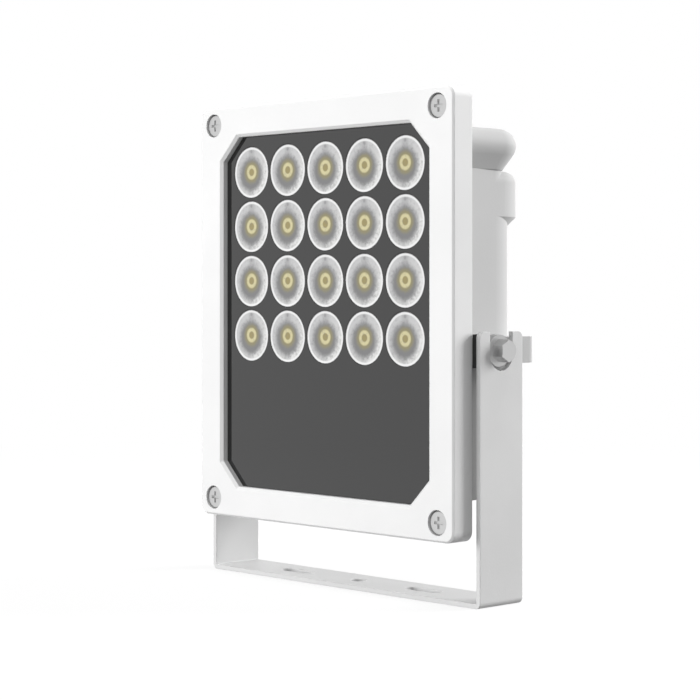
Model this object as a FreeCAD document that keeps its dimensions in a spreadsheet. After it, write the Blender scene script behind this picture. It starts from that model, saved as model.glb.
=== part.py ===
"""Traffic camera illuminator: a floodlight head that tilts in a folded U bracket.

Millimetres, +Z up. The origin is the middle of the underside of the bracket's base.
The pivot axis runs along X through y = 0, and the head looks towards -Y.
"""
import FreeCAD, Part
import math
import os
from types import SimpleNamespace

import Sketcher

SIZES = {
    # The pivot's height and the front bezel
    "pivot_rise": 128.5,
    "bezel_width": 196.6,
    "bezel_height": 227.7,
    "bezel_drop": 95.4,
    "bezel_depth": 13.6,
    "bezel_corner": 5.5,
    "bezel_edge": 1.0,
    "bezel_lip": 3.6,
    "bezel_wall": 3.0,
    "bezel_ridge": 1.2,
    "face_forward": 29.35,
    # The octagonal window
    "window_side": 18.0,
    "window_end": 17.05,
    "window_cut": 13.4,
    "window_chamfer": 1.55,
    # The U bracket
    "bracket_gap": 2.85,
    "bracket_depth": 31.5,
    "bracket_plate": 2.5,
    "bracket_bend": 0.6,
    "arm_lead": 9.6,
    "arm_corner": 3.0,
    "arm_slot_width": 16.6,
    "arm_slot_drop": 1.8,
    "base_slot_spacing": 98.0,
    "base_slot_length": 24.0,
    "base_slot_width": 9.0,
    "base_hole_diameter": 9.0,
    # The bezel's screws and their counterbores
    "screw_side": 11.2,
    "screw_end": 9.75,
    "screw_sink_diameter": 12.9,
    "screw_sink_depth": 2.7,
    "screw_head_diameter": 12.3,
    "screw_head_height": 1.7,
    "screw_head_dome": 0.8,
    "screw_diameter": 5.0,
    "screw_length": 10.0,
    "screw_boss_diameter": 11.0,
    "recess_reach": 3.1,
    "recess_width": 1.5,
    "recess_depth": 1.1,
    # The carrier panel and its seals
    "seal_thickness": 0.8,
    "seal_inset": 0.3,
    "panel_thickness": 2.5,
    "panel_margin": 3.5,
    # The lenses and the emitters
    "lens_pitch": 30.0,
    "lens_diameter": 28.6,
    "lens_top_margin": 19.65,
    "lens_collar_width": 0.5,
    "lens_collar_thickness": 1.2,
    "lens_length": 11.4,
    "lens_tip_diameter": 13.0,
    "lens_fit": 0.1,
    "led_width": 5.0,
    "led_thickness": 1.6,
    "led_gap": 0.3,
    # The emitter board, its screws and the plate behind it
    "board_thickness": 1.6,
    "board_gap": 1.0,
    "board_end_margin": 13.5,
    "board_screw_inset": 5.6,
    "small_screw_diameter": 3.0,
    "small_head_diameter": 5.5,
    "small_head_height": 2.0,
    "small_screw_length": 12.0,
    "spreader_thickness": 4.0,
    # The housing's flange
    "flange_thickness": 3.0,
    "flange_fit": 0.3,
    "rim_width": 5.0,
    # The housing's lower part and its block
    "body_side": 7.3,
    "body_draft": 3.7,
    "body_reach": 36.45,
    "body_corner": 26.0,
    "body_lift": 19.7,
    "block_reach": 43.4,
    "block_height": 23.7,
    "block_round": 6.0,
    # The hood
    "hood_side": 1.3,
    "hood_reach": 30.75,
    "hood_step": 19.2,
    "hood_height": 21.1,
    "hood_corner": 20.0,
    "hood_nose": 8.5,
    "hood_inset": 7.1,
    "hood_flare": 8.1,
    "hood_rear_round": 19.0,
    "hood_overlap": 1.0,
    # The hollow inside the housing
    "wall": 3.0,
    "ledge_width": 10.6,
    "bay_corner": 4.0,
    # The tilt pivot
    "lug_thickness": 13.4,
    "lug_reach": 32.35,
    "lug_corner": 5.0,
    "pad_gap": 0.3,
    "pad_width": 16.8,
    "bush_diameter": 16.2,
    "bush_set_back": 1.25,
    "bolt_diameter": 6.0,
    "bolt_flats": 10.0,
    "bolt_head": 6.8,
    "bolt_length": 22.0,
    # Clearances
    "bore_fit": 0.25,
    "bolt_hole_spare": 1.0,
    "cut_overrun": 1.0,
    # The driver board and what stands on it
    "driver_width": 112.0,
    "driver_height": 50.0,
    "driver_inset": 5.0,
    "driver_lift": 7.7,
    "driver_room": 16.5,
    "driver_spacing": 4.0,
    "post_diameter": 7.0,
    "choke_radius": 9.0,
    "choke_wire": 3.5,
    "capacitor_diameter": 10.0,
    "capacitor_length": 13.0,
    "capacitor_gap": 4.0,
    "terminal_width": 32.0,
    "terminal_depth": 10.0,
    "terminal_height": 12.0,
    # The cable gland
    "gland_lift": 27.7,
    "gland_thread": 16.0,
    "gland_neck": 14.0,
    "gland_flats": 22.0,
    "gland_nut_flats": 20.0,
    "gland_bore": 9.0,
    "cable_diameter": 8.0,
    "gland_flange": 5.0,
    "gland_neck_length": 9.0,
    "gland_nut_length": 12.0,
    "gland_seal_length": 3.4,
    "locknut_thickness": 4.0,
    "thread_past_nut": 1.0,
    "nut_chamfer": 1.0,
}
LENS_ROWS = 4
LENS_COLUMNS = 5
OCTAGON_OFFSET = 2 - math.sqrt(2)
SIDES = {"left": -1, "right": 1}
TERMINAL_WAYS = 3
NEAR = 0.001

DOCUMENT = FreeCAD.newDocument("illuminator")
VECTOR = FreeCAD.Vector


class Size:
    """A length that is known as a number and as a formula of the sheet's cells."""

    def __init__(self, number, formula=None):
        self.number = number
        self.formula = formula or str(number)

    def joined(self, sign, other, swapped=False):
        first, second = self, as_size(other)
        if swapped:
            first, second = second, first
        results = {
            "+": first.number + second.number,
            "-": first.number - second.number,
            "*": first.number * second.number,
        }
        number = first.number / second.number if sign == "/" else results[sign]
        return Size(number, f"({first.formula} {sign} {second.formula})")

    def __add__(self, other):
        return self.joined("+", other)

    def __radd__(self, other):
        return self.joined("+", other, True)

    def __sub__(self, other):
        return self.joined("-", other)

    def __rsub__(self, other):
        return self.joined("-", other, True)

    def __mul__(self, other):
        return self.joined("*", other)

    def __rmul__(self, other):
        return self.joined("*", other, True)

    def __truediv__(self, other):
        return self.joined("/", other)

    def __neg__(self):
        return self.joined("*", -1)


def as_size(value):
    return value if isinstance(value, Size) else Size(value)


def make_sheet():
    """The driving sizes, one cell each, and the same names as Size objects."""
    sheet = DOCUMENT.addObject("Spreadsheet::Sheet", "Sizes")
    for row, (name, number) in enumerate(SIZES.items(), start=1):
        sheet.set(f"A{row}", name)
        sheet.set(f"B{row}", str(number))
        sheet.setAlias(f"B{row}", name)
    DOCUMENT.recompute()
    return SimpleNamespace(**{name: Size(number, f"Sizes.{name}") for name, number in SIZES.items()})


def bind(thing, name, size):
    """Tie one property of an object to the sheet."""
    thing.setExpression(name, as_size(size).formula)


def place(thing, x, y, z):
    """Put an object's own origin at a point."""
    bind(thing, "Placement.Base.x", x)
    bind(thing, "Placement.Base.y", y)
    bind(thing, "Placement.Base.z", z)


def new_body(name):
    body = DOCUMENT.addObject("PartDesign::Body", name)
    body.Label = name
    return body


def new_sketch(body, plane, offset=0):
    """A sketch on one of the body's own planes, moved along the plane's normal."""
    sketch = body.newObject("Sketcher::SketchObject", f"{body.Name}_sketch")
    support = [feature for feature in body.Origin.OriginFeatures if feature.Role == plane]
    sketch.AttachmentSupport = [(support[0], "")]
    sketch.MapMode = "FlatFace"
    bind(sketch, "AttachmentOffset.Base.z", offset)
    return sketch


def front_sketch(body, y):
    """A sketch seen from the front: x to the right, z up. A pad grows towards -Y, a pocket towards +Y."""
    return new_sketch(body, "XZ_Plane", -as_size(y))


def plan_sketch(body, z=0):
    """A sketch seen from above: x and y. A pad grows upwards, a pocket downwards."""
    return new_sketch(body, "XY_Plane", z)


def side_sketch(body, x=0):
    """A sketch seen from the right: y and z. A pad grows towards +X."""
    return new_sketch(body, "YZ_Plane", x)


def fix_point(sketch, shape, point, corner):
    """Hold a point of a shape at a corner's two distances from the origin."""
    for kind, size in (("DistanceX", corner[0]), ("DistanceY", corner[1])):
        index = sketch.addConstraint(Sketcher.Constraint(kind, -1, 1, shape, point, as_size(size).number))
        bind(sketch, f"Constraints[{index}]", size)


def fix_radius(sketch, shape, radius):
    index = sketch.addConstraint(Sketcher.Constraint("Radius", shape, as_size(radius).number))
    bind(sketch, f"Constraints[{index}]", radius)


def round_corner(before, corner, after, radius):
    """The ends, centre and turn of the arc that rounds one corner."""
    to_before = (before - corner).normalize()
    to_after = (after - corner).normalize()
    half = to_before.getAngle(to_after) / 2
    start = corner + to_before * (radius / math.tan(half))
    end = corner + to_after * (radius / math.tan(half))
    centre = corner + (to_before + to_after).normalize() * (radius / math.sin(half))
    turns_left = (corner - before).cross(after - corner).z > 0
    return start, end, centre, turns_left


def draw_outline(sketch, corners, closed=True):
    """Lines from corner to corner. A corner is (x, y), or (x, y, radius) where an arc rounds it."""
    spots = [VECTOR(as_size(corner[0]).number, as_size(corner[1]).number, 0) for corner in corners]
    count = len(corners)
    ends = {}
    for number, corner in enumerate(corners):
        start = end = spots[number]
        if len(corner) == 3:
            before, after = spots[number - 1], spots[(number + 1) % count]
            start, end, centre, turns_left = round_corner(before, spots[number], after, as_size(corner[2]).number)
            ends[number] = (start, end, centre, turns_left)
        else:
            ends[number] = (start, end, None, True)
    lines = {}
    for number in range(count if closed else count - 1):
        line = Part.LineSegment(ends[number][1], ends[(number + 1) % count][0])
        lines[number] = sketch.addGeometry(line, False)
    for number, corner in enumerate(corners):
        incoming = lines.get((number - 1) % count)
        outgoing = lines.get(number)
        if incoming is None:
            fix_point(sketch, outgoing, 1, corner)
        elif outgoing is None:
            fix_point(sketch, incoming, 2, corner)
        elif len(corner) == 2:
            sketch.addConstraint(Sketcher.Constraint("Coincident", incoming, 2, outgoing, 1))
            fix_point(sketch, outgoing, 1, corner)
        else:
            add_arc(sketch, incoming, outgoing, corner, ends[number], spots[number])


def add_arc(sketch, incoming, outgoing, corner, arc_ends, spot):
    """Round one corner between two lines, and keep the sharp corner as the point that is held."""
    start, end, centre, turns_left = arc_ends
    radius = as_size(corner[2]).number
    first, last = (start, end) if turns_left else (end, start)
    circle = Part.Circle(centre, VECTOR(0, 0, 1), radius)
    first_angle = math.atan2(first.y - centre.y, first.x - centre.x)
    last_angle = math.atan2(last.y - centre.y, last.x - centre.x)
    if last_angle < first_angle:
        last_angle += 2 * math.pi
    arc = sketch.addGeometry(Part.ArcOfCircle(circle, first_angle, last_angle), False)
    arc_in, arc_out = (1, 2) if turns_left else (2, 1)
    point = sketch.addGeometry(Part.Point(spot), True)
    sketch.addConstraint(Sketcher.Constraint("Tangent", incoming, 2, arc, arc_in))
    sketch.addConstraint(Sketcher.Constraint("Tangent", outgoing, 1, arc, arc_out))
    sketch.addConstraint(Sketcher.Constraint("PointOnObject", point, 1, incoming))
    sketch.addConstraint(Sketcher.Constraint("PointOnObject", point, 1, outgoing))
    fix_point(sketch, point, 1, corner)
    fix_radius(sketch, arc, corner[2])


def draw_circle(sketch, x, y, diameter):
    centre = VECTOR(as_size(x).number, as_size(y).number, 0)
    circle = sketch.addGeometry(Part.Circle(centre, VECTOR(0, 0, 1), as_size(diameter).number / 2), False)
    fix_point(sketch, circle, 3, (x, y))
    fix_radius(sketch, circle, as_size(diameter) / 2)


def draw_slot(sketch, x, y, length, width):
    """A slot along the sketch's x, with round ends."""
    radius = as_size(width) / 2
    half = as_size(length) / 2 - radius
    middle = VECTOR(as_size(x).number, as_size(y).number, 0)
    arcs = []
    for side in (-1, 1):
        centre = middle + VECTOR(side * half.number, 0, 0)
        turn = math.pi / 2 if side < 0 else -math.pi / 2
        circle = Part.Circle(centre, VECTOR(0, 0, 1), radius.number)
        arcs.append(sketch.addGeometry(Part.ArcOfCircle(circle, turn, turn + math.pi), False))
        fix_point(sketch, arcs[-1], 3, (x + side * half, y))
    top = middle + VECTOR(0, radius.number, 0)
    bottom = middle - VECTOR(0, radius.number, 0)
    reach = VECTOR(half.number, 0, 0)
    upper = sketch.addGeometry(Part.LineSegment(top + reach, top - reach), False)
    lower = sketch.addGeometry(Part.LineSegment(bottom - reach, bottom + reach), False)
    for line, first, last in ((upper, arcs[1], arcs[0]), (lower, arcs[0], arcs[1])):
        sketch.addConstraint(Sketcher.Constraint("Tangent", line, 1, first, 2))
        sketch.addConstraint(Sketcher.Constraint("Tangent", line, 2, last, 1))
    fix_radius(sketch, arcs[0], radius)


def add_feature(body, kind, sketch, length, symmetric=False, reverse=False):
    feature = body.newObject(f"PartDesign::{kind}", f"{body.Name}_{kind}")
    feature.Profile = (sketch, [""])
    bind(feature, "Length", length)
    feature.Reversed = reverse
    if symmetric:
        feature.SideType = "Symmetric"
    return feature


def add_revolution(body, sketch):
    """Turn a sketch once round its own vertical axis."""
    feature = body.newObject("PartDesign::Revolution", f"{body.Name}_Revolution")
    feature.Profile = (sketch, [""])
    feature.ReferenceAxis = (sketch, ["V_Axis"])
    feature.Angle = 360
    return feature


def add_dress(body, kind, size_name, size, wanted):
    """A Fillet or Chamfer on each edge that the wanted test picks."""
    DOCUMENT.recompute()
    base = body.Tip
    names = [f"Edge{index}" for index, edge in enumerate(base.Shape.Edges, start=1) if wanted(edge)]
    feature = body.newObject(f"PartDesign::{kind}", f"{body.Name}_{kind}")
    feature.Base = (base, names)
    bind(feature, size_name, size)
    return feature


def group(name, members):
    """Identical pieces of one node, as separate solids."""
    compound = DOCUMENT.addObject("Part::Compound", name)
    compound.Label = name
    compound.Links = members
    return compound


def rectangle(half_width, low, high, radius=None):
    """Corners of a rectangle about x = 0."""
    corners = [(-half_width, low), (half_width, low), (half_width, high), (-half_width, high)]
    return corners if radius is None else [corner + (radius,) for corner in corners]


def octagon(half_width, low, high, cut):
    """Corners of a rectangle about x = 0 whose corners are cut at 45 degrees."""
    return [
        (-half_width + cut, low), (half_width - cut, low), (half_width, low + cut), (half_width, high - cut),
        (half_width - cut, high), (-half_width + cut, high), (-half_width, high - cut), (-half_width, low + cut),
    ]


def hexagon(x, y, flats, turn=0.0):
    """Corners of a hexagon by its width across flats."""
    radius = as_size(flats) / math.sqrt(3)
    angles = [math.radians(turn + 60 * step) for step in range(6)]
    return [(x + radius * math.cos(angle), y + radius * math.sin(angle)) for angle in angles]


def derive(s):
    """Places that several pieces share, worked out from the driving sizes."""
    s.face_y = -s.face_forward
    s.bezel_back = s.face_y + s.bezel_depth
    s.lip_back = s.face_y + s.bezel_lip
    s.panel_front = s.lip_back + s.seal_thickness
    s.panel_back = s.panel_front + s.panel_thickness
    s.rim_front = s.panel_back + s.seal_thickness
    s.flange_front = s.bezel_back - s.flange_thickness
    s.lens_tip = s.panel_front + s.lens_length
    s.board_front = s.lens_tip + s.led_gap + s.led_thickness
    s.board_back = s.board_front + s.board_thickness
    s.spreader_back = s.board_back + s.spreader_thickness
    s.bay_back = s.body_reach - s.wall
    s.hood_bay_back = s.hood_reach / 2
    s.driver_front = s.spreader_back + s.driver_room
    s.driver_back = s.driver_front + s.board_thickness

    s.bezel_half = s.bezel_width / 2
    s.bezel_low = s.pivot_rise - s.bezel_drop
    s.bezel_high = s.bezel_low + s.bezel_height
    s.window_half = s.bezel_half - s.window_side
    s.window_low = s.bezel_low + s.window_end
    s.window_high = s.bezel_high - s.window_end
    s.panel_half = s.window_half + s.panel_margin
    s.panel_low = s.window_low - s.panel_margin
    s.panel_high = s.window_high + s.panel_margin
    s.panel_cut = s.window_cut + s.panel_margin * OCTAGON_OFFSET

    s.body_low = s.bezel_low + s.body_lift
    s.hood_half = s.bezel_half - s.hood_side
    s.hood_high = s.bezel_high - s.hood_step
    s.neck_z = s.hood_high - s.hood_height
    s.block_slope = s.block_reach - s.body_reach
    s.block_low = s.neck_z - s.block_height - s.block_slope
    s.floor = s.body_low + s.wall
    s.roof = s.hood_high - s.wall
    s.cavity_half = s.panel_half - s.rim_width
    s.bay_half = s.cavity_half - s.ledge_width

    s.lens_rows = [s.window_high - s.lens_top_margin - s.lens_pitch * row for row in range(LENS_ROWS)]
    middle = (LENS_COLUMNS - 1) / 2
    s.lens_columns = [s.lens_pitch * (column - middle) for column in range(LENS_COLUMNS)]
    s.board_half = s.cavity_half - s.board_gap
    s.board_low = s.lens_rows[-1] - s.board_end_margin
    s.board_high = s.roof - s.board_gap
    s.driver_middle = s.floor + s.driver_lift + s.driver_height / 2
    s.capacitor_spread = (s.capacitor_diameter + s.capacitor_gap) / 2
    s.driver_clear = s.capacitor_spread + s.capacitor_diameter / 2 + s.driver_spacing
    s.gland_z = s.floor + s.gland_lift

    s.arm_inner = s.bezel_half + s.bracket_gap
    s.arm_outer = s.arm_inner + s.bracket_plate
    s.arm_high = s.pivot_rise + s.arm_lead
    s.slot_z = s.pivot_rise - s.arm_slot_drop
    s.lug_face = s.bezel_half
    s.pad_face = s.arm_inner - s.pad_gap
    s.bush_face = s.arm_outer - s.bush_set_back


def bezel_screw_spots(s):
    x = s.bezel_half - s.screw_side
    return [(side * x, z) for side in (-1, 1) for z in (s.bezel_low + s.screw_end, s.bezel_high - s.screw_end)]


def board_screw_spots(s):
    x = s.cavity_half - s.board_screw_inset
    heights = (s.lens_rows[0], (s.lens_rows[0] + s.lens_rows[-1]) / 2, s.lens_rows[-1])
    return [(side * x, z) for side in (-1, 1) for z in heights]


def driver_screw_spots(s):
    half_x = s.driver_width / 2 - s.driver_inset
    half_z = s.driver_height / 2 - s.driver_inset
    return [(x * half_x, s.driver_middle + z * half_z) for x in (-1, 1) for z in (-1, 1)]


def front_pad(body, y, length, corners):
    """Material with an outline seen from the front, from y forwards."""
    sketch = front_sketch(body, y)
    draw_outline(sketch, corners)
    return add_feature(body, "Pad", sketch, length)


def front_pocket(body, y, length, corners):
    """A recess with an outline seen from the front, from y rearwards."""
    sketch = front_sketch(body, y)
    draw_outline(sketch, corners)
    return add_feature(body, "Pocket", sketch, length)


def front_circles(body, kind, y, length, spots, diameter):
    """Round bosses from y forwards, or round holes from y rearwards."""
    sketch = front_sketch(body, y)
    for x, z in spots:
        draw_circle(sketch, x, z, diameter)
    return add_feature(body, kind, sketch, length)


def plan_pad(body, low, high, corners):
    """Material with an outline seen from above, between two heights."""
    sketch = plan_sketch(body, low)
    draw_outline(sketch, corners)
    return add_feature(body, "Pad", sketch, high - low)


def edge_at_y(edge, y):
    box = edge.BoundBox
    return abs(box.YMin - y.number) < NEAR and abs(box.YMax - y.number) < NEAR


def edge_at_z(edge, z):
    box = edge.BoundBox
    return abs(box.ZMin - z.number) < NEAR and abs(box.ZMax - z.number) < NEAR


def make_front_bezel(s):
    """A tray with a lip in front: the octagonal window in its ridge and four counterbored screw holes."""
    body = new_body("front_bezel")
    half = s.bezel_half
    front_pad(body, s.bezel_back, s.bezel_depth, rectangle(half, s.bezel_low, s.bezel_high, s.bezel_corner))
    add_dress(body, "Chamfer", "Size", s.bezel_edge, lambda edge: edge_at_y(edge, s.face_y))
    inner = rectangle(half - s.bezel_wall, s.bezel_low + s.bezel_wall, s.bezel_high - s.bezel_wall,
                      s.bezel_corner - s.bezel_wall)
    front_pocket(body, s.lip_back, s.bezel_depth - s.bezel_lip, inner)
    ridge = s.bezel_ridge
    front_pad(body, s.panel_front, s.seal_thickness,
              octagon(s.window_half + ridge, s.window_low - ridge, s.window_high + ridge,
                      s.window_cut + ridge * OCTAGON_OFFSET))
    window = octagon(s.window_half, s.window_low, s.window_high, s.window_cut)
    front_pocket(body, s.face_y, s.bezel_lip + s.seal_thickness, window)

    def in_window(edge):
        return edge_at_y(edge, s.face_y) and edge.BoundBox.XMax < s.window_half.number + NEAR \
            and edge.BoundBox.XMin > -s.window_half.number - NEAR

    add_dress(body, "Chamfer", "Size", s.window_chamfer, in_window)
    spots = bezel_screw_spots(s)
    front_circles(body, "Pocket", s.face_y, s.screw_sink_depth, spots, s.screw_sink_diameter)
    front_circles(body, "Pocket", s.face_y, s.bezel_lip, spots, s.screw_diameter + 2 * s.bore_fit)
    return body


def add_cross_recess(body, s):
    """The cross-shaped driver recess in a screw's head."""
    arm, reach = s.recess_width / 2, s.recess_reach
    front_pocket(body, -s.screw_head_height, s.recess_depth, [
        (-arm, -reach), (arm, -reach), (arm, -arm), (reach, -arm), (reach, arm), (arm, arm),
        (arm, reach), (-arm, reach), (-arm, arm), (-reach, arm), (-reach, -arm), (-arm, -arm),
    ])


def make_screw(name, x, y, z, sizes):
    """A screw along +Y, its head's underside at y. A dome of 0 leaves the head's edge square."""
    head_diameter, head_height, dome, diameter, length = sizes
    body = DOCUMENT.addObject("PartDesign::Body", name)
    sketch = plan_sketch(body)
    crown = (head_diameter / 2, -head_height)
    draw_outline(sketch, [
        (0, -head_height), (*crown, dome) if dome else crown, (head_diameter / 2, 0),
        (diameter / 2, 0), (diameter / 2, length), (0, length),
    ])
    add_revolution(body, sketch)
    place(body, x, y, z)
    return body


def make_bezel_screws(s):
    sizes = (s.screw_head_diameter, s.screw_head_height, s.screw_head_dome, s.screw_diameter, s.screw_length)
    seat = s.face_y + s.screw_sink_depth
    screws = [make_screw(f"bezel_screw_{number}", x, seat, z, sizes)
              for number, (x, z) in enumerate(bezel_screw_spots(s), start=1)]
    for screw in screws:
        add_cross_recess(screw, s)
    return group("bezel_screws", screws)


def make_front_panel(s):
    """The dark carrier plate behind the window, with a round hole for each lens."""
    body = new_body("front_panel")
    outline = octagon(s.panel_half, s.panel_low, s.panel_high, s.panel_cut)
    front_pad(body, s.panel_back, s.panel_thickness, outline)
    spots = [(x, z) for z in s.lens_rows for x in s.lens_columns]
    front_circles(body, "Pocket", s.panel_front, s.panel_thickness, spots, s.lens_diameter + 2 * s.lens_fit)
    return body


def make_seal(name, s, back, inset):
    """A flat ring with the panel's outline, open inside by an inset."""
    body = new_body(name)
    front_pad(body, back, s.seal_thickness, octagon(s.panel_half, s.panel_low, s.panel_high, s.panel_cut))
    opening = octagon(s.panel_half - inset, s.panel_low + inset, s.panel_high - inset,
                      s.panel_cut - inset * OCTAGON_OFFSET)
    front_pocket(body, back - s.seal_thickness, s.seal_thickness, opening)
    return body


def make_lens(s, row, column):
    """One moulded lens: a flat face flush with the panel, a collar behind it and a cone to the emitter."""
    body = new_body(f"lens_r{row + 1}c{column + 1}")
    sketch = plan_sketch(body)
    radius = s.lens_diameter / 2
    collar = radius + s.lens_collar_width
    collar_back = s.panel_thickness + s.lens_collar_thickness
    draw_outline(sketch, [
        (0, 0), (radius, 0), (radius, s.panel_thickness), (collar, s.panel_thickness), (collar, collar_back),
        (s.lens_tip_diameter / 2, s.lens_length), (0, s.lens_length),
    ])
    add_revolution(body, sketch)
    place(body, s.lens_columns[column], s.panel_front, s.lens_rows[row])
    return body


def make_led_row(s, row):
    """The five square emitters behind one row of lenses."""
    emitters = []
    half = s.led_width / 2
    for number, x in enumerate(s.lens_columns, start=1):
        block = DOCUMENT.addObject("Part::Box", f"emitter_{row + 1}_{number}")
        for edge, size in (("Length", s.led_width), ("Width", s.led_thickness), ("Height", s.led_width)):
            bind(block, edge, size)
        place(block, x - half, s.board_front - s.led_thickness, s.lens_rows[row] - half)
        emitters.append(block)
    return group(f"led_row_{row + 1}", emitters)


def make_plate(name, s, back, thickness):
    """The circuit board or the plate behind it: one outline, the same six screw holes."""
    body = new_body(name)
    front_pad(body, back, thickness, rectangle(s.board_half, s.board_low, s.board_high))
    hole = s.small_screw_diameter + 2 * s.bore_fit
    front_circles(body, "Pocket", back - thickness, thickness, board_screw_spots(s), hole)
    return body


def make_board_screws(s):
    sizes = (s.small_head_diameter, s.small_head_height, 0, s.small_screw_diameter, s.small_screw_length)
    screws = [make_screw(f"board_screw_{number}", x, s.board_front, z, sizes)
              for number, (x, z) in enumerate(board_screw_spots(s), start=1)]
    return group("board_screws", screws)


def body_half(s, y):
    """Half the housing's width at y: its sides draw in towards the rear."""
    taper = s.body_draft / (s.body_reach - s.bezel_back)
    return s.bezel_half - s.body_side - taper * (y - s.bezel_back)


def body_outline(s, reach, corner):
    """The housing's plan, with a rear wall at reach and rounded rear corners."""
    front, rear = body_half(s, s.bezel_back), body_half(s, reach)
    return [(-front, s.bezel_back), (front, s.bezel_back), (rear, reach, corner), (-rear, reach, corner)]


def add_flange(body, s):
    """The flange inside the bezel, the rim that presses on the panel and the four screw bosses."""
    inset = s.bezel_wall + s.flange_fit
    corner = s.bezel_corner - inset
    outline = rectangle(s.bezel_half - inset, s.bezel_low + inset, s.bezel_high - inset, corner)
    front_pad(body, s.bezel_back, s.flange_thickness, outline)
    rim = octagon(s.panel_half, s.panel_low, s.panel_high, s.panel_cut)
    front_pad(body, s.flange_front, s.flange_front - s.rim_front, rim)
    spots = bezel_screw_spots(s)
    front_circles(body, "Pad", s.flange_front, s.flange_front - s.lip_back, spots, s.screw_boss_diameter)


def add_body(body, s):
    """The block that reaches furthest back, round on top and sloping below, and the lower housing under it."""
    plan_pad(body, s.block_low, s.neck_z, body_outline(s, s.block_reach, s.body_corner))

    def round_the_block(edge, z):
        return edge_at_z(edge, z) and edge.BoundBox.YMax > s.bezel_back.number + NEAR

    add_dress(body, "Fillet", "Radius", s.block_round, lambda edge: round_the_block(edge, s.neck_z))
    add_dress(body, "Chamfer", "Size", s.block_slope, lambda edge: round_the_block(edge, s.block_low))
    plan_pad(body, s.body_low, s.neck_z - s.block_round, body_outline(s, s.body_reach, s.body_corner))


def add_hood(body, s):
    """The hood: a neck, a core, and a nose swept round its sides and rear."""
    neck_reach = s.hood_reach - s.hood_inset
    neck_corner = s.hood_corner - s.hood_inset
    plan_pad(body, s.neck_z - s.block_round, s.neck_z, body_outline(s, neck_reach, neck_corner))
    half = s.hood_half
    core_inset = s.hood_nose + 2 * s.hood_overlap
    core_half, core_reach = half - core_inset, s.hood_reach - core_inset
    core_corner = s.hood_corner - core_inset
    plan_pad(body, s.neck_z, s.hood_high, [
        (-core_half, s.bezel_back), (core_half, s.bezel_back), (core_half, core_reach, core_corner),
        (-core_half, core_reach, core_corner),
    ])
    path = plan_sketch(body, s.neck_z)
    draw_outline(path, [
        (half, s.bezel_back), (half, s.hood_reach, s.hood_corner), (-half, s.hood_reach, s.hood_corner),
        (-half, s.bezel_back),
    ], closed=False)
    profile = front_sketch(body, s.bezel_back)
    inner = core_half - s.hood_overlap
    draw_outline(profile, [
        (inner, s.neck_z), (half - s.hood_inset, s.neck_z), (half + s.hood_flare, s.hood_high, s.hood_nose),
        (inner, s.hood_high),
    ])
    DOCUMENT.recompute()
    sweep = body.newObject("PartDesign::AdditivePipe", "hood_sweep")
    sweep.Profile = (profile, [""])
    sweep.Spine = (path, [f"Edge{index}" for index in range(1, len(path.Shape.Edges) + 1)])
    rounding = side_sketch(body)
    past, reach, high, radius = s.cut_overrun, s.hood_reach, s.hood_high, s.hood_rear_round
    draw_outline(rounding, [
        (reach - radius - past, high + past), (reach + past, high + past), (reach + past, high - radius - past),
        (reach, high - radius - past), (reach, high, radius), (reach - radius - past, high),
    ])
    add_feature(body, "Pocket", rounding, 2 * (half + s.hood_flare), symmetric=True)


def add_lugs(body, s):
    """The bar across the sides that carries the pivot: its two ends stand out as lugs."""
    low = s.pivot_rise - s.lug_thickness / 2
    plan_pad(body, low, low + s.lug_thickness, [
        (-s.lug_face, s.bezel_back), (s.lug_face, s.bezel_back), (s.lug_face, s.lug_reach, s.lug_corner),
        (-s.lug_face, s.lug_reach, s.lug_corner),
    ])


def cut_cavity(body, s):
    """The hollow inside: the rim's opening, the bay for the board, and the deeper bays behind it."""
    inset = s.rim_width
    rim = octagon(s.cavity_half, s.panel_low + inset, s.panel_high - inset, s.panel_cut - inset * OCTAGON_OFFSET)
    front_pocket(body, s.rim_front, s.flange_front - s.rim_front, rim)
    depth = s.spreader_back - s.flange_front
    front_pocket(body, s.flange_front, depth, rectangle(s.cavity_half, s.floor, s.roof))
    bay_top = s.neck_z - s.block_round - s.wall
    bay = rectangle(s.bay_half, s.floor, bay_top, s.bay_corner)
    front_pocket(body, s.spreader_back, s.bay_back - s.spreader_back, bay)
    upper = rectangle(s.bay_half - s.bay_corner, bay_top - 2 * s.bay_corner, s.roof - s.bay_corner)
    front_pocket(body, s.spreader_back, s.hood_bay_back - s.spreader_back, upper)


def make_rear_shell(s):
    """The cast housing behind the bezel."""
    body = new_body("rear_shell")
    add_flange(body, s)
    add_body(body, s)
    add_hood(body, s)
    add_lugs(body, s)
    cut_cavity(body, s)
    posts = driver_screw_spots(s)
    front_circles(body, "Pad", s.bay_back, s.bay_back - s.driver_back, posts, s.post_diameter)
    small_bore = s.small_screw_diameter + 2 * s.bore_fit
    front_circles(body, "Pocket", s.driver_back, s.small_screw_length, posts, small_bore)
    front_circles(body, "Pocket", s.spreader_back, s.small_screw_length, board_screw_spots(s), small_bore)
    depth = s.bezel_back - s.lip_back
    front_circles(body, "Pocket", s.lip_back, depth, bezel_screw_spots(s), s.screw_diameter + 2 * s.bore_fit)
    front_circles(body, "Pocket", s.bay_back, s.wall, [(0, s.gland_z)], s.gland_thread + 2 * s.bore_fit)
    bolt_depth = s.bolt_length - (s.bush_face - s.lug_face) + s.bolt_hole_spare
    for side in SIDES.values():
        sketch = side_sketch(body, side * s.lug_face)
        draw_circle(sketch, 0, s.pivot_rise, s.bolt_diameter + 2 * s.bore_fit)
        add_feature(body, "Pocket", sketch, bolt_depth, reverse=side < 0)
    return body


def make_driver_board(s):
    body = new_body("driver_board")
    half_height = s.driver_height / 2
    outline = rectangle(s.driver_width / 2, s.driver_middle - half_height, s.driver_middle + half_height)
    front_pad(body, s.driver_back, s.board_thickness, outline)
    hole = s.small_screw_diameter + 2 * s.bore_fit
    front_circles(body, "Pocket", s.driver_front, s.board_thickness, driver_screw_spots(s), hole)
    return body


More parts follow.
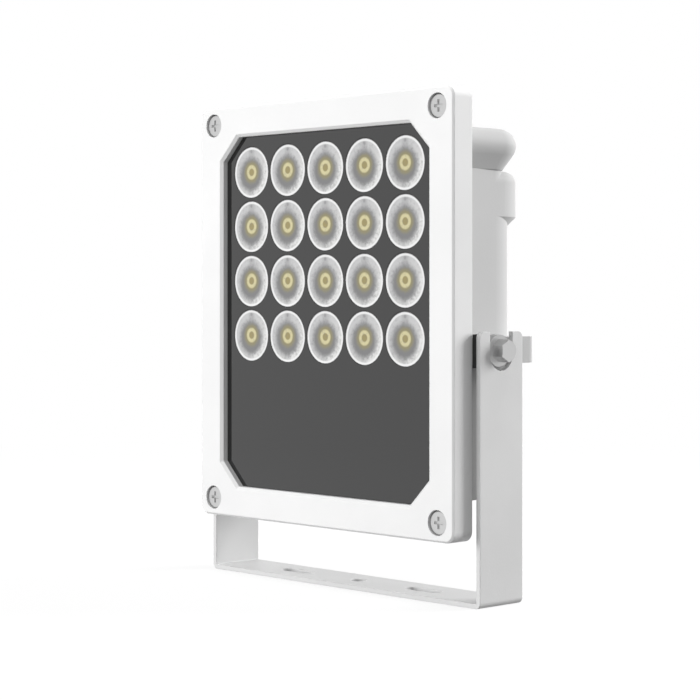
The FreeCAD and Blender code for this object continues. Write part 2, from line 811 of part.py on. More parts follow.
def make_driver_screws(s):
    sizes = (s.small_head_diameter, s.small_head_height, 0, s.small_screw_diameter, s.small_screw_length)
    screws = [make_screw(f"driver_screw_{number}", x, s.driver_front, z, sizes)
              for number, (x, z) in enumerate(driver_screw_spots(s), start=1)]
    return group("driver_screws", screws)


def make_driver_choke(s):
    """A wound ring that lies on the driver board."""
    choke = DOCUMENT.addObject("Part::Torus", "driver_choke")
    choke.Label = "driver_choke"
    bind(choke, "Radius1", s.choke_radius)
    bind(choke, "Radius2", s.choke_wire)
    choke.Placement = FreeCAD.Placement(VECTOR(), FreeCAD.Rotation(VECTOR(1, 0, 0), -90))
    reach = s.driver_clear + s.choke_radius + s.choke_wire
    place(choke, -reach, s.driver_front - s.choke_wire, s.driver_middle)
    return choke


def make_driver_capacitors(s):
    cans = []
    for side in SIDES.values():
        can = DOCUMENT.addObject("Part::Cylinder", f"capacitor_{len(cans) + 1}")
        bind(can, "Radius", s.capacitor_diameter / 2)
        bind(can, "Height", s.capacitor_length)
        can.Placement = FreeCAD.Placement(VECTOR(), FreeCAD.Rotation(VECTOR(1, 0, 0), -90))
        place(can, side * s.capacitor_spread, s.driver_front - s.capacitor_length, s.driver_middle)
        cans.append(can)
    return group("driver_capacitors", cans)


def make_terminal_block(s):
    """A block with three wire entries, on the right of the driver board."""
    body = new_body("terminal_block")
    half = s.terminal_width / 2
    middle = s.driver_clear + half
    low = s.driver_middle - s.terminal_height / 2
    front_pad(body, s.driver_front, s.terminal_depth, [
        (middle - half, low), (middle + half, low), (middle + half, low + s.terminal_height),
        (middle - half, low + s.terminal_height),
    ])
    pitch = s.terminal_width / TERMINAL_WAYS
    spots = [(middle + pitch * (way - (TERMINAL_WAYS - 1) / 2), s.driver_middle) for way in range(TERMINAL_WAYS)]
    front_circles(body, "Pocket", s.driver_front - s.terminal_depth, s.terminal_depth / 2, spots,
                  s.terminal_height / 2)
    return body


def make_gland_body(s):
    """The gland's threaded stub through the rear wall, its hexagonal flange and its neck."""
    body = new_body("gland_body")
    spot = [(0, s.gland_z)]
    stub = s.wall + s.locknut_thickness + s.thread_past_nut
    flange_back = s.body_reach + s.seal_thickness + s.gland_flange
    front_circles(body, "Pad", s.body_reach + s.seal_thickness, stub + s.seal_thickness, spot, s.gland_thread)
    front_pad(body, flange_back, s.gland_flange, hexagon(0, s.gland_z, s.gland_flats))
    front_circles(body, "Pad", flange_back + s.gland_neck_length, s.gland_neck_length, spot, s.gland_neck)
    whole = stub + s.seal_thickness + s.gland_flange + s.gland_neck_length
    front_circles(body, "Pocket", s.body_reach - stub, whole, spot, s.gland_bore)
    return body


def make_gland_washer(s):
    body = new_body("gland_washer")
    back = s.body_reach + s.seal_thickness
    front_circles(body, "Pad", back, s.seal_thickness, [(0, s.gland_z)], s.gland_flats)
    hole = s.gland_thread + 2 * s.bore_fit
    front_circles(body, "Pocket", s.body_reach, s.seal_thickness, [(0, s.gland_z)], hole)
    return body


def make_gland_locknut(s):
    body = new_body("gland_locknut")
    front_pad(body, s.bay_back, s.locknut_thickness, hexagon(0, s.gland_z, s.gland_flats))
    hole = s.gland_thread + 2 * s.bore_fit
    front_circles(body, "Pocket", s.bay_back - s.locknut_thickness, s.locknut_thickness, [(0, s.gland_z)], hole)
    return body


def make_gland_nut(s):
    """The cap nut over the neck, with the seal in its bottom."""
    body = new_body("gland_nut")
    neck_end = s.body_reach + s.seal_thickness + s.gland_flange + s.gland_neck_length
    back = neck_end + s.gland_seal_length + 2 * s.bore_fit + s.wall
    front_pad(body, back, s.gland_nut_length, hexagon(0, s.gland_z, s.gland_nut_flats))
    add_dress(body, "Chamfer", "Size", s.nut_chamfer, lambda edge: edge_at_y(edge, back))
    start = back - s.gland_nut_length
    spot = [(0, s.gland_z)]
    front_circles(body, "Pocket", start, s.gland_nut_length - s.wall, spot, s.gland_neck + 2 * s.bore_fit)
    front_circles(body, "Pocket", start, s.gland_nut_length, spot, s.gland_bore)
    return body


def make_gland_seal(s):
    body = new_body("gland_seal")
    neck_end = s.body_reach + s.seal_thickness + s.gland_flange + s.gland_neck_length
    back = neck_end + s.bore_fit + s.gland_seal_length
    front_circles(body, "Pad", back, s.gland_seal_length, [(0, s.gland_z)], s.gland_neck)
    front = back - s.gland_seal_length
    front_circles(body, "Pocket", front, s.gland_seal_length, [(0, s.gland_z)], s.cable_diameter)
    return body


def make_bracket(s):
    """One sheet folded into a U, with open slots in the arms and slots in the base."""
    body = new_body("u_bracket")
    outer, inner, top = s.arm_outer, s.arm_inner, s.arm_high
    plate, bend = s.bracket_plate, s.bracket_bend
    front_pad(body, s.bracket_depth / 2, s.bracket_depth, [
        (-outer, top), (-outer, 0, bend + plate), (outer, 0, bend + plate), (outer, top),
        (inner, top), (inner, plate, bend), (-inner, plate, bend), (-inner, top),
    ])

    def at_arm_corner(edge):
        box = edge.BoundBox
        return edge_at_z(edge, top) and box.YLength < NEAR

    add_dress(body, "Fillet", "Radius", s.arm_corner, at_arm_corner)
    slot = side_sketch(body)
    half_slot = s.arm_slot_width / 2
    draw_outline(slot, [(-half_slot, top), (-half_slot, s.slot_z), (half_slot, s.slot_z), (half_slot, top)])
    add_feature(body, "Pocket", slot, 2 * outer, symmetric=True)
    round_end = side_sketch(body)
    draw_circle(round_end, 0, s.slot_z, s.arm_slot_width)
    add_feature(body, "Pocket", round_end, 2 * outer, symmetric=True)
    holes = plan_sketch(body, plate)
    for side in SIDES.values():
        draw_slot(holes, side * s.base_slot_spacing / 2, as_size(0), s.base_slot_length, s.base_slot_width)
    draw_circle(holes, 0, 0, s.base_hole_diameter)
    add_feature(body, "Pocket", holes, plate)
    return body


def side_solid(body, side, near, far, draw):
    """Material between two distances from the middle, on the left or on the right."""
    sketch = side_sketch(body, near if side > 0 else -far)
    draw(sketch)
    return add_feature(body, "Pad", sketch, far - near)


def side_hole(body, side, near, far, diameter, z):
    sketch = side_sketch(body, near if side > 0 else -far)
    draw_circle(sketch, 0, z, diameter)
    return add_feature(body, "Pocket", sketch, far - near, reverse=True)


def make_pivot_bush(s, name, side):
    body = new_body(f"pivot_bush_{name}")
    near, far = s.lug_face, s.bush_face
    side_solid(body, side, near, far, lambda sketch: draw_circle(sketch, 0, s.pivot_rise, s.bush_diameter))
    side_hole(body, side, near, far, s.bolt_diameter + 2 * s.bore_fit, s.pivot_rise)
    return body


def make_pivot_pad(s, name, side):
    """The rubber pad on the lug, between the bezel and the bush."""
    body = new_body(f"pivot_pad_{name}")
    low = s.pivot_rise - s.pad_width / 2
    front, rear = s.bezel_back + s.bore_fit, -s.arm_slot_width / 2 - s.pad_gap
    corners = [(front, low), (rear, low), (rear, low + s.pad_width), (front, low + s.pad_width)]
    side_solid(body, side, s.lug_face, s.pad_face, lambda sketch: draw_outline(sketch, corners))
    return body


def add_hexagon_chamfer(body, side, top, s):
    """The 30 degree cone that turns the corners off a hexagon head, about the pivot axis."""
    sketch = front_sketch(body, 0)
    bind(sketch, "AttachmentOffset.Base.y", s.pivot_rise)
    inner = s.bolt_flats / 2
    outer = s.bolt_flats
    draw_outline(sketch, [
        (side * top, inner), (side * top, outer), (side * (top - (outer - inner) / math.sqrt(3)), outer),
    ])
    groove = body.newObject("PartDesign::Groove", f"{body.Name}_Groove")
    groove.Profile = (sketch, [""])
    groove.ReferenceAxis = (sketch, ["H_Axis"])
    groove.Angle = 360


def make_pivot_bolt(s, name, side):
    """A hexagon head against the bush, and its shank through the bush into the lug."""
    body = new_body(f"pivot_bolt_{name}")
    under_head = s.bush_face
    top = under_head + s.bolt_head
    tip = under_head - s.bolt_length
    side_solid(body, side, tip, under_head,
               lambda sketch: draw_circle(sketch, 0, s.pivot_rise, s.bolt_diameter))
    side_solid(body, side, under_head, top,
               lambda sketch: draw_outline(sketch, hexagon(0, s.pivot_rise, s.bolt_flats, 90)))
    add_hexagon_chamfer(body, side, top, s)
    return body


def make_all(s):
    """Every node of the part."""
    nodes = [make_bracket(s), make_front_bezel(s), make_bezel_screws(s), make_front_panel(s)]
    nodes.append(make_seal("panel_gasket", s, s.panel_front, s.panel_margin - s.bezel_ridge - s.seal_inset))
    nodes.append(make_seal("rim_seal", s, s.rim_front, s.rim_width))
    nodes += [make_lens(s, row, column) for row in range(LENS_ROWS) for column in range(LENS_COLUMNS)]
    nodes += [make_led_row(s, row) for row in range(LENS_ROWS)]
    nodes.append(make_plate("led_board", s, s.board_back, s.board_thickness))
    nodes.append(make_plate("heat_spreader", s, s.spreader_back, s.spreader_thickness))
    nodes += [make_board_screws(s), make_rear_shell(s)]
    nodes += [make_driver_board(s), make_driver_screws(s), make_driver_choke(s), make_driver_capacitors(s)]
    nodes += [make_terminal_block(s), make_gland_body(s), make_gland_washer(s), make_gland_locknut(s)]
    nodes += [make_gland_nut(s), make_gland_seal(s)]
    for name, side in SIDES.items():
        nodes += [make_pivot_bush(s, name, side), make_pivot_pad(s, name, side), make_pivot_bolt(s, name, side)]
    return nodes


def check_document(nodes):
    """Stop if an object failed or a node's shape is missing or broken."""
    DOCUMENT.recompute()
    for thing in DOCUMENT.Objects:
        if {"Invalid", "Error"} & set(thing.State):
            raise RuntimeError(f"{thing.Name} failed: {thing.State}")
    for node in nodes:
        if node.Shape.isNull() or not node.Shape.isValid():
            raise RuntimeError(f"{node.Label} has no sound shape")


def export(nodes):
    os.makedirs("parts", exist_ok=True)
    for node in nodes:
        node.Shape.exportStep(f"parts/{node.Label}.step")
        print(node.Label, len(node.Shape.Solids), round(node.Shape.Volume, 1))


sizes = make_sheet()
derive(sizes)
all_nodes = make_all(sizes)
check_document(all_nodes)
export(all_nodes)
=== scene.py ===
"""Looks of the traffic camera illuminator: lenses, finishes, lamps and camera.

Metres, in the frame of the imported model: +Z up, the lenses face -Y, the tilt axis lies along X.
"""
import math

import bmesh
import bpy
import numpy as np
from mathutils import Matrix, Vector


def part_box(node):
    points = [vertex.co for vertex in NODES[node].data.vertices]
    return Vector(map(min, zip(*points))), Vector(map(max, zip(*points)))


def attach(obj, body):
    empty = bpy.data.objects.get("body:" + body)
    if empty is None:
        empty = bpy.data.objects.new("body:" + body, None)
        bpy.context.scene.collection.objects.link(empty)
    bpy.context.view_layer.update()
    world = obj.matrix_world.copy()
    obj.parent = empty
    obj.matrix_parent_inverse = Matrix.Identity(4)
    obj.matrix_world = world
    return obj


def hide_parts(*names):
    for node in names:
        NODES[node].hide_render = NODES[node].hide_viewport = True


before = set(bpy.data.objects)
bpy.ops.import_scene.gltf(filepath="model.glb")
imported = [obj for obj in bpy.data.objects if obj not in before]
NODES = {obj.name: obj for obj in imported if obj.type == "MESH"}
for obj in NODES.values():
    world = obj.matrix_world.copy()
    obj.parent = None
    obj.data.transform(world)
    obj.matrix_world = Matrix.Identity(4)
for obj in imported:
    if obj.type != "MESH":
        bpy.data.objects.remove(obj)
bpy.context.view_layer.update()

MM = 0.001


def grey(level):
    """A colour from a grey level on the screen, 0 to 255."""
    share = level / 255
    linear = share / 12.92 if share <= 0.04045 else ((share + 0.055) / 1.055) ** 2.4
    return (linear, linear, linear)


def screen_colour(red, green, blue):
    return tuple(grey(level)[0] for level in (red, green, blue))


# Where the photograph was taken from. The lens's length is in millimetres, for a picture 36 mm wide
CAMERA_PLACE = (786.9 * MM, -752.05 * MM, 159.0 * MM)
CAMERA_AZIMUTH = math.radians(46.549)
CAMERA_WIDTH = 36.0
CAMERA_LENS = 103.72
CAMERA_SHIFT_Y = -0.0856

# The grid of lenses
LENS_ROWS = 4
LENS_COLUMNS = 5

# A lens's own sizes behind its CAD box: rim, dish, rounded edge, collar and tip
RIM = 0.7 * MM
DISH = 0.3 * MM
EDGE = 0.25 * MM
COLLAR = 0.5 * MM
PANEL = 2.5 * MM
COLLAR_BACK = 3.7 * MM
TIP = 6.5 * MM

# What shows in a lens, by the share of its radius at which each zone starts and is complete
EMITTER_ZONE = (0.17, 0.10)
CREAM_ZONE = (0.32, 0.24)
OLIVE_ZONE = (0.52, 0.30)
WELL_ZONE = (0.82, 0.48)
# GLINT_ZONE gives the radii of a painted glint, a highlight painted on the lower right of each lens
GLINT_ZONE = (0.68, 0.76)
RIM_ZONE = (0.86, 0.91)
GAP_ZONE = (0.955, 0.985)
MARK_ZONE = (0.10, 0.03)
# The middles of the zones that aren't centred, to the right and upwards
WELL_MIDDLE = (-0.02, -0.09)
RIM_MIDDLE = (0.012, -0.012)
MARK_MIDDLE = (0.0, 0.8)

LENS_PALE = screen_colour(185, 185, 186)
# Painted light: LENS_LIT is the lower right of a lens painted lighter, LENS_GLINT is its painted glint
LENS_LIT = screen_colour(196, 196, 195)
LENS_GLINT = screen_colour(226, 226, 226)
LENS_WELL = screen_colour(115, 115, 116)
LENS_OLIVE = screen_colour(134, 127, 92)
LENS_CREAM = screen_colour(198, 190, 147)
LENS_EMITTER = screen_colour(145, 133, 87)
LENS_RIM = screen_colour(223, 223, 223)
LENS_GAP = screen_colour(60, 60, 60)

# Powder coats: the share of light they return, how far their mottle darkens it, and what wears them
PAINTS = {
    "bezel_paint": (0.80, 0.03, ["front_bezel"]),
    # The shell wears the bezel's white paint; its lower share of light here is painted shade on the shell
    "shell_paint_painted_shade": (0.49, 0.03, ["rear_shell"]),
    "bracket_paint": (0.66, 0.04, ["u_bracket"]),
}
# Plated metals: colour, roughness
METALS = {
    "screw_steel": ((0.64, 0.64, 0.64), 0.28, ["bezel_screws", "board_screws", "driver_screws"]),
    "bolt_steel": ((0.56, 0.56, 0.56), 0.28, ["pivot_bolt_left", "pivot_bolt_right"]),
    # The bushes' steel is darker than the bolts': painted shade for the shadowed gap round each bush in its
    # slot
    "bush_steel_painted_shade": ((0.50, 0.50, 0.50), 0.34, ["pivot_bush_left", "pivot_bush_right"]),
    "spreader_metal": ((0.72, 0.72, 0.73), 0.35, ["heat_spreader"]),
}
# Rubbers: grey level on the screen
RUBBERS = {
    "seal_rubber": (45, ["panel_gasket", "rim_seal", "gland_seal", "gland_washer"]),
    "pad_rubber": (30, ["pivot_pad_left", "pivot_pad_right"]),
}
# Plastics, resin and wound wire: colour, roughness
PLASTICS = {
    "emitter_resin": ((0.75, 0.60, 0.15), 0.30, ["led_row_1", "led_row_2", "led_row_3", "led_row_4"]),
    "choke_copper": ((0.50, 0.22, 0.08), 0.35, ["driver_choke"]),
    "capacitor_sleeve": ((0.03, 0.03, 0.035), 0.30, ["driver_capacitors"]),
    "terminal_plastic": ((0.08, 0.32, 0.12), 0.45, ["terminal_block"]),
    "gland_plastic": ((0.03, 0.03, 0.03), 0.50, ["gland_body", "gland_locknut", "gland_nut"]),
}

# The studio: a floor that returns little light to the object but shows white, and a soft even world
FLOOR_REACH = 6.0
FLOOR_FADE = (0.3, 1.0)
FLOOR_COLOUR = (0.12, 0.12, 0.12)
FLOOR_GLOW = 0.88
AMBIENT = 0.42
LAMP_AIM = (0.0, 0.0, 0.14)
# Each lamp's place, the side of its square, and its light on a surface that faces it
LAMPS = {
    "key": ((-0.8, -2.0, 0.45), 1.0, 1.0),
    "side": ((1.05, 1.8, 0.85), 1.2, 1.34),
    "fill": ((1.2, -1.4, 0.4), 1.0, 0.1),
    "top": ((0.1, 0.1, 2.1), 1.0, 0.35),
}


class Socket:
    """A shader value that takes part in ordinary arithmetic."""

    def __init__(self, tree, source):
        self.tree = tree
        self.source = source

    def math(self, operation, *others):
        node = self.tree.nodes.new("ShaderNodeMath")
        node.operation = operation
        for index, value in enumerate((self, *others)):
            connect(self.tree, value, node.inputs[index])
        return Socket(self.tree, node.outputs[0])

    def __add__(self, other):
        return self.math("ADD", other)

    __radd__ = __add__

    def __sub__(self, other):
        return self.math("SUBTRACT", other)

    def __rsub__(self, other):
        return constant(self.tree, other).math("SUBTRACT", self)

    def __mul__(self, other):
        return self.math("MULTIPLY", other)

    __rmul__ = __mul__

    def __pow__(self, other):
        return self.math("POWER", other)

    def step(self, start, end):
        """0 below start, 1 above end, smooth between them. With start above end it falls instead."""
        node = self.tree.nodes.new("ShaderNodeMapRange")
        node.interpolation_type = "SMOOTHSTEP"
        connect(self.tree, self, node.inputs["Value"])
        node.inputs["From Min"].default_value = min(start, end)
        node.inputs["From Max"].default_value = max(start, end)
        node.inputs["To Min"].default_value = 0.0 if start < end else 1.0
        node.inputs["To Max"].default_value = 1.0 if start < end else 0.0
        return Socket(self.tree, node.outputs["Result"])


def constant(tree, number):
    node = tree.nodes.new("ShaderNodeValue")
    node.outputs[0].default_value = number
    return Socket(tree, node.outputs[0])


def connect(tree, value, target):
    """Link a socket, or set a plain number or colour."""
    if isinstance(value, Socket):
        tree.links.new(value.source, target)
    else:
        target.default_value = value


def add_node(tree, kind, output=0, settings=(), **inputs):
    """A shader node with its inputs set or linked by name, and one of its outputs as a Socket."""
    node = tree.nodes.new(kind)
    for name, value in settings:
        setattr(node, name, value)
    for name, value in inputs.items():
        connect(tree, value, node.inputs[name.replace("_", " ")])
    return Socket(tree, node.outputs[output])


def mix_colour(tree, factor, first, second):
    """A colour between two colours."""
    node = tree.nodes.new("ShaderNodeMix")
    node.data_type = "RGBA"
    connect(tree, factor, node.inputs[0])
    for value, index in ((first, 6), (second, 7)):
        value = value if isinstance(value, Socket) else (*value, 1.0)
        connect(tree, value, node.inputs[index])
    return Socket(tree, node.outputs[2])


def join_shaders(tree, kind, first, second, factor=None):
    """Two shaders added, or mixed by a factor."""
    node = tree.nodes.new(kind)
    values = (first, second) if factor is None else (factor, first, second)
    for index, value in enumerate(values):
        connect(tree, value, node.inputs[index])
    return Socket(tree, node.outputs[0])


def object_coordinates(tree):
    return add_node(tree, "ShaderNodeTexCoord", output=3)


def split(tree, vector):
    node = tree.nodes.new("ShaderNodeSeparateXYZ")
    connect(tree, vector, node.inputs[0])
    return [Socket(tree, output) for output in node.outputs]


def noise(tree, scale, detail=3.0, roughness=0.5):
    return add_node(tree, "ShaderNodeTexNoise", Vector=object_coordinates(tree),
                    Scale=scale, Detail=detail, Roughness=roughness)


def distance_from(across, up, middle_across, middle_up):
    """How far a point of a disc is from another, in shares of the disc's radius."""
    right, above = across - middle_across, up - middle_up
    return (right * right + above * above) ** 0.5


def new_material(name, colour, roughness, bump=None, bump_height=0.0, edge_radius=0.0, **settings):
    """A Principled material. Colour, roughness and bump may vary; the settings are plain numbers."""
    material = bpy.data.materials.new(name)
    material.use_nodes = True
    tree = material.node_tree
    shader = tree.nodes["Principled BSDF"]
    looks = (colour, roughness, bump)
    colour, roughness, bump = (look(tree) if callable(look) else look for look in looks)
    connect(tree, colour if isinstance(colour, Socket) else (*colour, 1.0), shader.inputs["Base Color"])
    connect(tree, roughness, shader.inputs["Roughness"])
    for key, value in settings.items():
        shader.inputs[key.replace("_", " ")].default_value = value
    normal = {}
    if edge_radius:
        normal["Normal"] = add_node(tree, "ShaderNodeBevel", settings=[("samples", 6)], Radius=edge_radius)
    if bump is not None:
        normal["Normal"] = add_node(tree, "ShaderNodeBump", Height=bump, Distance=bump_height, **normal)
    if normal:
        connect(tree, normal["Normal"], shader.inputs["Normal"])
    return material


def cast_paint(name, level, mottle):
    """Powder coat on metal: a fine orange peel and a faint unevenness of colour and gloss."""
    def tint(tree):
        cloud = noise(tree, 22.0, detail=4.0)
        darker = level * (1 - mottle)
        return mix_colour(tree, cloud.step(0.35, 0.65), (level,) * 3, (darker,) * 3)

    def gloss(tree):
        return noise(tree, 60.0) * 0.12 + 0.36

    def peel(tree):
        return noise(tree, 900.0, detail=2.0) + noise(tree, 240.0) * 0.6

    return new_material(name, tint, gloss, peel, 0.03 * MM, 0.5 * MM, Coat_Weight=0.15, Coat_Roughness=0.3)


def plated_metal(name, colour, roughness):
    """Plated metal with the fine scratches of handling and an uneven gloss."""
    def gloss(tree):
        return noise(tree, 300.0) * 0.15 + roughness

    def marks(tree):
        return noise(tree, 1400.0, detail=2.0)

    return new_material(name, colour, gloss, marks, 0.02 * MM, 0.2 * MM, Metallic=1.0)


def black_rubber(name, level):
    """Black moulded rubber with a fine matt grain."""
    def tint(tree):
        return mix_colour(tree, noise(tree, 150.0).step(0.3, 0.7), grey(level), grey(level * 1.4))

    def grain(tree):
        return noise(tree, 2200.0, detail=2.0)

    return new_material(name, tint, 0.75, grain, 0.03 * MM)


def speckled_plastic(name, colour, roughness):
    """Moulded plastic or resin: a faint mottle, and the fine grain of its mould."""
    def tint(tree):
        darker = tuple(channel * 0.8 for channel in colour)
        return mix_colour(tree, noise(tree, 300.0).step(0.35, 0.65), colour, darker)

    def grain(tree):
        return noise(tree, 1500.0, detail=2.0)

    return new_material(name, tint, roughness, grain, 0.02 * MM)


def panel_gloss():
    """The near-black glossy carrier between the lenses, with a hint of dust."""
    def tint(tree):
        dust = noise(tree, 400.0, detail=5.0)
        return mix_colour(tree, dust.step(0.62, 0.8), (0.0022, 0.0022, 0.0024), (0.006, 0.006, 0.0062))

    def gloss(tree):
        return noise(tree, 35.0) * 0.02 + 0.03

    return new_material("panel_gloss", tint, gloss, IOR=1.75)


def board_green():
    """Solder mask with the tracks showing through it."""
    def tint(tree):
        tracks = noise(tree, 260.0, detail=1.0)
        return mix_colour(tree, tracks.step(0.48, 0.52), (0.02, 0.09, 0.04), (0.03, 0.13, 0.06))

    return new_material("board_green", tint, 0.35)


def lens_colours_and_painted_light():
    """What a lens shows from outside, from the middle to the edge.

    Emitter, cream ring, olive halo, dark reflector, a pale zone that darkens above and below the middle, and
    the white rim, with painted light: the lower right painted lighter and a painted glint there.
    """
    def tint(tree):
        across, up, _ = split(tree, add_node(tree, "ShaderNodeUVMap", settings=[("uv_map", "disc")]))
        craze = noise(tree, 620.0, detail=6.0, roughness=0.65) - 0.5
        radius = distance_from(across, up, 0.0, 0.0)
        well = distance_from(across, up, *WELL_MIDDLE) + craze * 0.16
        rim = distance_from(across, up, *RIM_MIDDLE)
        mark = distance_from(across, up, *MARK_MIDDLE)
        # Painted light: lit_side grows towards the lower right, which is painted lighter as if lit from the
        # upper left
        lit_side = across * 0.8 - up * 0.6
        off_middle = across * across
        colour = mix_colour(tree, lit_side.step(-0.5, 0.75), LENS_PALE, LENS_LIT)
        colour = mix_colour(tree, off_middle.step(0.05, 0.0) * 0.3, colour, LENS_WELL)
        halo = mix_colour(tree, (radius + craze * 0.2).step(*OLIVE_ZONE), LENS_WELL, LENS_OLIVE)
        colour = mix_colour(tree, well.step(*WELL_ZONE), colour, halo)
        # A painted glint: a highlight painted near the rim on the lower right
        glint = radius.step(*GLINT_ZONE) * lit_side.step(0.35, 0.65) * (craze + 0.5).step(0.35, 0.65)
        colour = mix_colour(tree, glint * 0.5, colour, LENS_GLINT)
        cream = radius.step(*reversed(EMITTER_ZONE)) * radius.step(*CREAM_ZONE)
        colour = mix_colour(tree, cream, colour, LENS_CREAM)
        colour = mix_colour(tree, radius.step(*EMITTER_ZONE), colour, LENS_EMITTER)
        colour = mix_colour(tree, craze.step(0.02, -0.2) * 0.3, colour, LENS_WELL)
        colour = mix_colour(tree, mark.step(*MARK_ZONE) * 0.5, colour, LENS_WELL)
        colour = mix_colour(tree, rim.step(*RIM_ZONE), colour, LENS_RIM)
        return mix_colour(tree, rim.step(*GAP_ZONE), colour, LENS_GAP)

    return new_material("lens_colours_and_painted_light", tint, 0.16, Coat_Weight=0.3, Coat_Roughness=0.03)


def dress(material, names):
    """Give CAD nodes one material."""
    for name in names:
        for slot in NODES[name].material_slots:
            slot.material = material


def dress_nodes():
    """Every node that stays gets its finish."""
    for maker, finishes in ((cast_paint, PAINTS), (plated_metal, METALS),
                            (black_rubber, RUBBERS), (speckled_plastic, PLASTICS)):
        for name, (*looks, nodes) in finishes.items():
            dress(maker(name, *looks), nodes)
    dress(panel_gloss(), ["front_panel"])
    dress(board_green(), ["led_board", "driver_board"])


def revolve(name, profile, centre, disc_radius, segments=96):
    """A surface turned round a line along Y: x = r cos a, y = the profile's y, z = r sin a, moved to centre.

    Its UV map, disc, holds x and z as shares of disc_radius. A profile that starts and ends on
    the axis closes the surface.
    """
    profile = np.array(profile)
    angles = np.linspace(0, 2 * math.pi, segments, endpoint=False)
    radii, depths = profile[:, 0], profile[:, 1]
    x = np.outer(radii, np.cos(angles))
    z = np.outer(radii, np.sin(angles))
    y = np.repeat(depths[:, None], segments, axis=1)
    vertices = np.stack([x, y, z], axis=-1).reshape(-1, 3)
    rings, steps = np.meshgrid(np.arange(len(profile) - 1), np.arange(segments), indexing="ij")
    near, after = rings * segments + steps, rings * segments + (steps + 1) % segments
    faces = np.stack([near, after, after + segments, near + segments], axis=-1).reshape(-1, 4)
    mesh = bpy.data.meshes.new(name)
    mesh.from_pydata((vertices + centre).tolist(), [], faces.tolist())
    uv_map = mesh.uv_layers.new(name="disc")
    loops = np.empty(len(mesh.loops), dtype=np.int32)
    mesh.loops.foreach_get("vertex_index", loops)
    shares = vertices[:, [0, 2]] / disc_radius
    uv_map.data.foreach_set("uv", shares[loops].astype(np.float32).ravel())
    close_poles(mesh)
    mesh.polygons.foreach_set("use_smooth", np.ones(len(mesh.polygons), dtype=bool))
    mesh.update()
    piece = bpy.data.objects.new(name, mesh)
    bpy.context.scene.collection.objects.link(piece)
    return piece


def close_poles(mesh):
    """Merge the points that meet on the axis and turn every face outwards."""
    shape = bmesh.new()
    shape.from_mesh(mesh)
    bmesh.ops.remove_doubles(shape, verts=shape.verts, dist=1e-7)
    bmesh.ops.recalc_face_normals(shape, faces=shape.faces)
    shape.to_mesh(mesh)
    shape.free()


def lens_profile(radius, low, high):
    """From the middle of the dished front, over the rim and down the cone to the tip.

    The dish is a shallow ellipse: depth = DISH * sqrt(1 - (r / dish radius) ** 2).
    """
    dish_radius = radius - RIM
    turn = np.linspace(0, math.pi / 2, 24)
    dish = [(dish_radius * math.sin(a), low + DISH * math.cos(a)) for a in turn]
    edge = np.linspace(0, math.pi / 2, 5)
    crown = [(radius - EDGE + EDGE * math.sin(a), low + EDGE - EDGE * math.cos(a)) for a in edge]
    collar = radius + COLLAR
    seat = [(radius, low + PANEL), (collar, low + PANEL), (collar, low + COLLAR_BACK)]
    return dish + crown + seat + [(TIP, high), (0.0, high)]


def make_lenses():
    """Twenty moulded lenses in place of the plain ones, each where its node is."""
    lens_colours_and_light = lens_colours_and_painted_light()
    for row in range(1, LENS_ROWS + 1):
        for column in range(1, LENS_COLUMNS + 1):
            node = f"lens_r{row}c{column}"
            low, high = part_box(node)
            radius = (high[0] - low[0]) / 2 - COLLAR
            middle = ((low[0] + high[0]) / 2, 0.0, (low[2] + high[2]) / 2)
            piece = revolve(f"moulded_{node}", lens_profile(radius, low[1], high[1]), middle, radius)
            piece.data.materials.append(lens_colours_and_light)
            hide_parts(node)
            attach(piece, "head")


def seen_directly(tree):
    """1 for rays from the camera, through glass or off a gloss, 0 for light that falls on the object."""
    node = tree.nodes.new("ShaderNodeLightPath")
    camera, glossy, through = (Socket(tree, node.outputs[name])
                               for name in ("Is Camera Ray", "Is Glossy Ray", "Is Transmission Ray"))
    return camera.math("MAXIMUM", glossy.math("MAXIMUM", through))


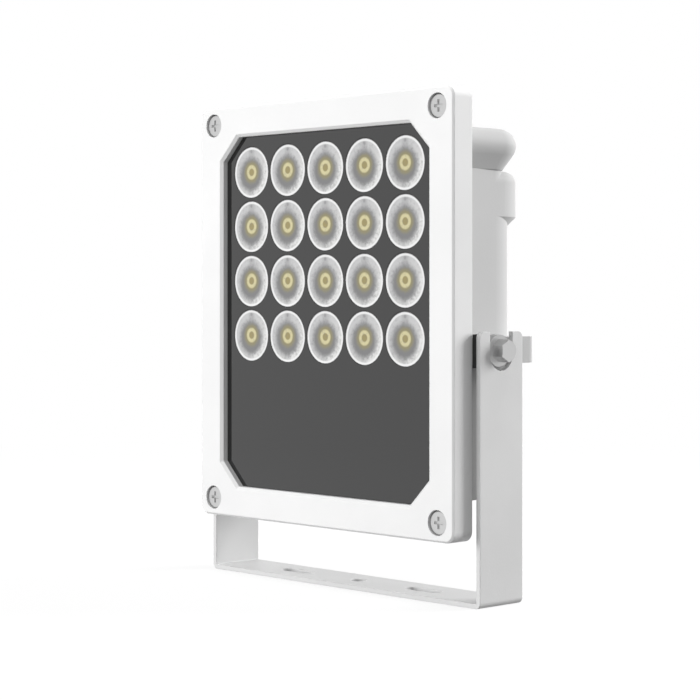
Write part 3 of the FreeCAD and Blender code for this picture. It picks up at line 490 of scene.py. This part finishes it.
def floor_white():
    """Matt near the object, where it keeps its shadow, and plain white away from it."""
    material = bpy.data.materials.new("floor_white")
    material.use_nodes = True
    tree = material.node_tree
    tree.nodes.clear()
    across, along, _ = split(tree, object_coordinates(tree))
    distance = (across * across + along * along) ** 0.5
    matt = add_node(tree, "ShaderNodeBsdfDiffuse", Color=(*FLOOR_COLOUR, 1.0))
    glow = add_node(tree, "ShaderNodeEmission", Color=(1.0, 1.0, 1.0, 1.0), Strength=FLOOR_GLOW)
    white = add_node(tree, "ShaderNodeEmission", Color=(1.0, 1.0, 1.0, 1.0), Strength=1.0)
    near = join_shaders(tree, "ShaderNodeAddShader", matt, glow)
    shown = join_shaders(tree, "ShaderNodeMixShader", near, white, distance.step(*FLOOR_FADE))
    surface = join_shaders(tree, "ShaderNodeMixShader", matt, shown, seen_directly(tree))
    output = tree.nodes.new("ShaderNodeOutputMaterial")
    connect(tree, surface, output.inputs["Surface"])
    return material


def make_floor():
    mesh = bpy.data.meshes.new("floor")
    corners = [(-1, -1), (1, -1), (1, 1), (-1, 1)]
    mesh.from_pydata([(FLOOR_REACH * x, FLOOR_REACH * y, 0) for x, y in corners], [], [(0, 1, 2, 3)])
    mesh.materials.append(floor_white())
    floor = bpy.data.objects.new("floor", mesh)
    bpy.context.scene.collection.objects.link(floor)


def make_world():
    """White to the eye and in reflections, a soft even light on the object."""
    world = bpy.data.worlds.new("studio")
    world.use_nodes = True
    tree = world.node_tree
    background = tree.nodes["Background"]
    seen = seen_directly(tree)
    connect(tree, seen + (1 - seen) * AMBIENT, background.inputs["Strength"])
    background.inputs["Color"].default_value = (1.0, 1.0, 1.0, 1.0)
    bpy.context.scene.world = world


def make_lamp(name, place, size, level):
    """A square soft box aimed at the middle of the head.

    A level of 1 lights a surface that faces it as a white surround would, with
    power = level * (pi * distance) ** 2.
    """
    away = Vector(LAMP_AIM) - Vector(place)
    data = bpy.data.lights.new(name, "AREA")
    data.shape = "SQUARE"
    data.size = size
    data.energy = level * (math.pi * away.length) ** 2
    lamp = bpy.data.objects.new(name, data)
    lamp.location = place
    lamp.rotation_euler = away.to_track_quat("-Z", "Y").to_euler()
    lamp.visible_camera = False
    lamp.visible_glossy = False
    bpy.context.scene.collection.objects.link(lamp)


def make_camera():
    data = bpy.data.cameras.new("camera")
    data.sensor_width = CAMERA_WIDTH
    data.lens = CAMERA_LENS
    data.shift_y = CAMERA_SHIFT_Y
    camera = bpy.data.objects.new("camera", data)
    camera.location = CAMERA_PLACE
    camera.rotation_euler = (math.pi / 2, 0.0, CAMERA_AZIMUTH)
    bpy.context.scene.collection.objects.link(camera)
    bpy.context.scene.camera = camera


make_camera()
make_world()
make_floor()
for name, lamp in LAMPS.items():
    make_lamp(name, *lamp)
make_lenses()
dress_nodes()

scene = bpy.context.scene
scene.view_settings.view_transform = "Standard"
